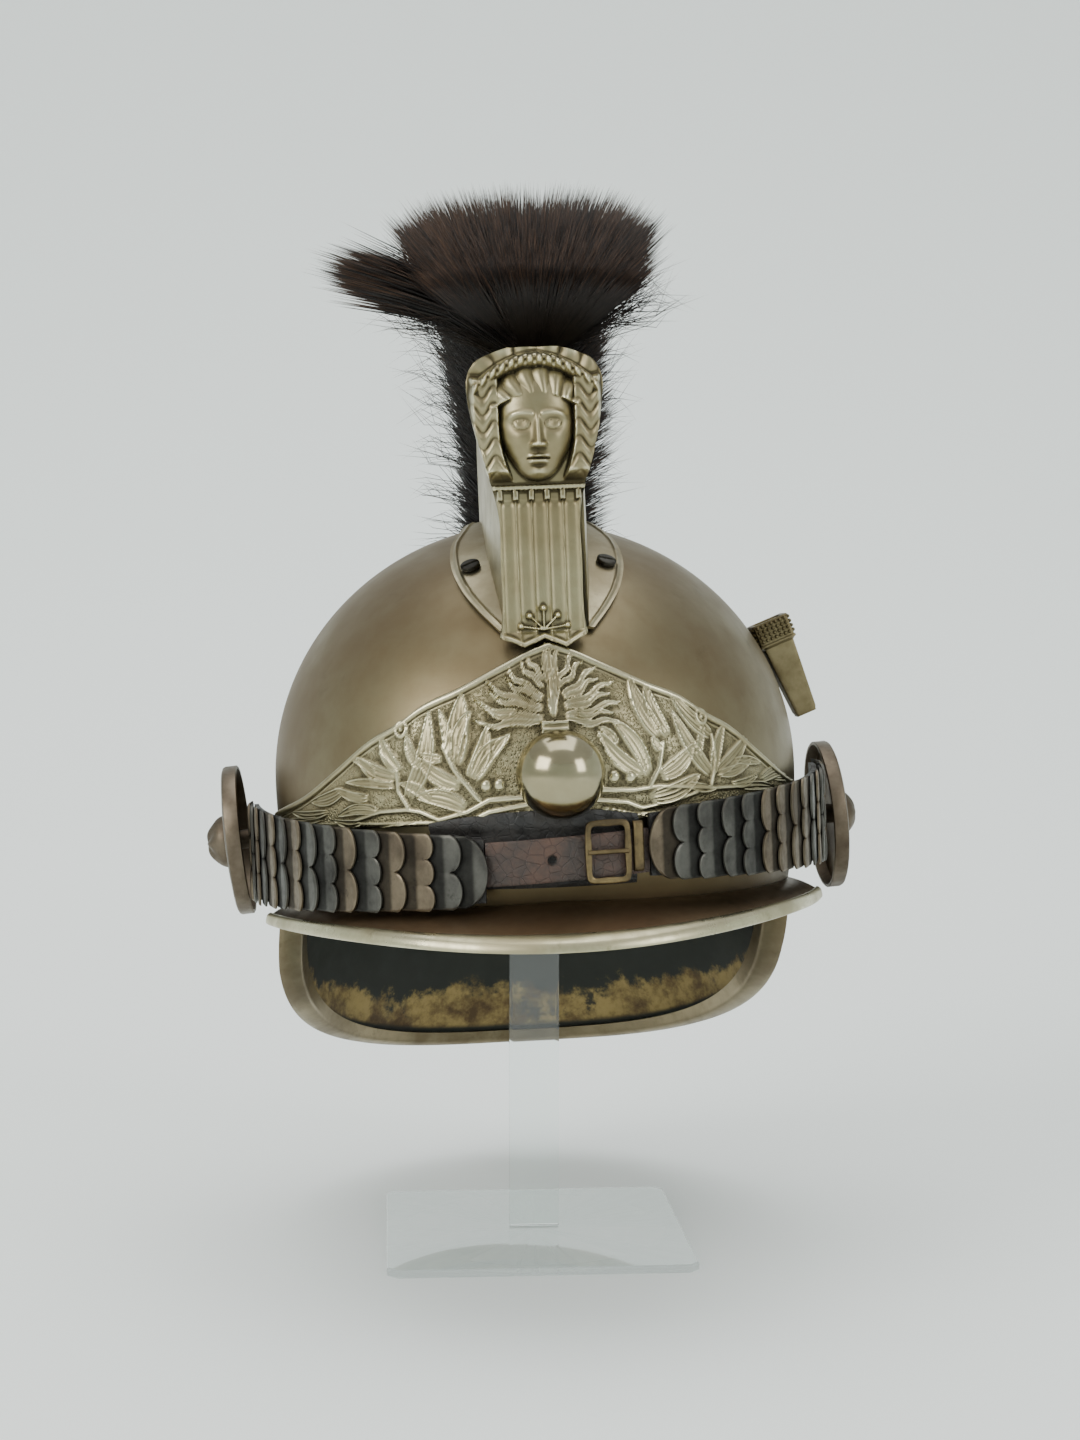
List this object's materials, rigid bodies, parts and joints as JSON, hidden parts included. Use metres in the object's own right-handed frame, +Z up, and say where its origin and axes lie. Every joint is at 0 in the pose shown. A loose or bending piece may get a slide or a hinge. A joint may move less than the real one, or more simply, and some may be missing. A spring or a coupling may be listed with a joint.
{
  "type": "gendarme helmet on display stand",
  "caption": "Metal parade helmet with a crest and dark horsehair brush, stamped front plate, peak, neck guard and scaled chin strap, on a clear stand.",
  "frame": {"origin": "centre of the underside of the stand's square foot", "axes": "-Y is where the helmet faces, +Z up, +X is the wearer's left"},
  "size_m": [0.2465, 0.2972, 0.3883],
  "materials": {
    "dome_metal": "tarnished",
    "plate_metal": "tarnished, stamped",
    "ball_metal": "polished",
    "visor_metal": "dark tarnish",
    "rim_metal": "worn nickel",
    "guard_metal": "tarnished, painted black inside",
    "guard_rim_metal": "worn nickel",
    "crest_metal": "tarnished",
    "screw_metal": "dark",
    "horsehair": "coarse hair",
    "socket_metal": "tarnished",
    "rosette_metal": "grey-brown patina",
    "black_leather": "dry",
    "brown_leather": "worn",
    "buckle_brass": "worn",
    "clear_acrylic": "clear",
    "scale_brown": "brown patina",
    "scale_dark": "dark patina"
  },
  "bodies": {
    "root": {"bowl": "dome_metal", "front_plate": "plate_metal", "grenade_ball": "ball_metal", "visor": "visor_metal", "visor_rim": "rim_metal", "neck_guard": "guard_metal", "neck_guard_rim": "guard_rim_metal", "crest_body": "crest_metal", "crest_front": "plate_metal", "crest_screw_left": "screw_metal", "crest_screw_right": "screw_metal", "brush": "horsehair", "plume_socket": "socket_metal", "rosette_left": "rosette_metal", "rosette_right": "rosette_metal", "boss_left": "rosette_metal", "boss_right": "rosette_metal", "strap_left": "black_leather", "strap_right": "black_leather", "front_leather": "black_leather", "buckle_strap": "brown_leather", "buckle_frame": "buckle_brass", "buckle_keeper": "buckle_brass", "stand_base": "clear_acrylic", "stand_upright": "clear_acrylic", "stand_top": "clear_acrylic", "scale_left_01": "scale_brown", "scale_left_02": "scale_dark", "scale_left_03": "scale_brown", "scale_left_04": "scale_dark", "scale_left_05": "scale_brown", "scale_left_06": "scale_dark", "scale_left_07": "scale_brown", "scale_left_08": "scale_dark", "scale_left_09": "scale_dark", "scale_left_10": "scale_brown", "scale_left_11": "scale_dark", "scale_left_12": "scale_brown", "scale_left_13": "scale_brown", "scale_left_14": "scale_dark", "scale_left_15": "scale_dark", "scale_right_01": "scale_dark", "scale_right_02": "scale_brown", "scale_right_03": "scale_dark", "scale_right_04": "scale_dark", "scale_right_05": "scale_brown", "scale_right_06": "scale_dark", "scale_right_07": "scale_brown", "scale_right_08": "scale_brown", "scale_right_09": "scale_brown", "scale_right_10": "scale_brown", "scale_right_11": "scale_dark", "scale_right_12": "scale_dark", "scale_right_13": "scale_dark", "scale_right_14": "scale_dark", "scale_right_15": "scale_brown"}
  },
  "joints": []
}
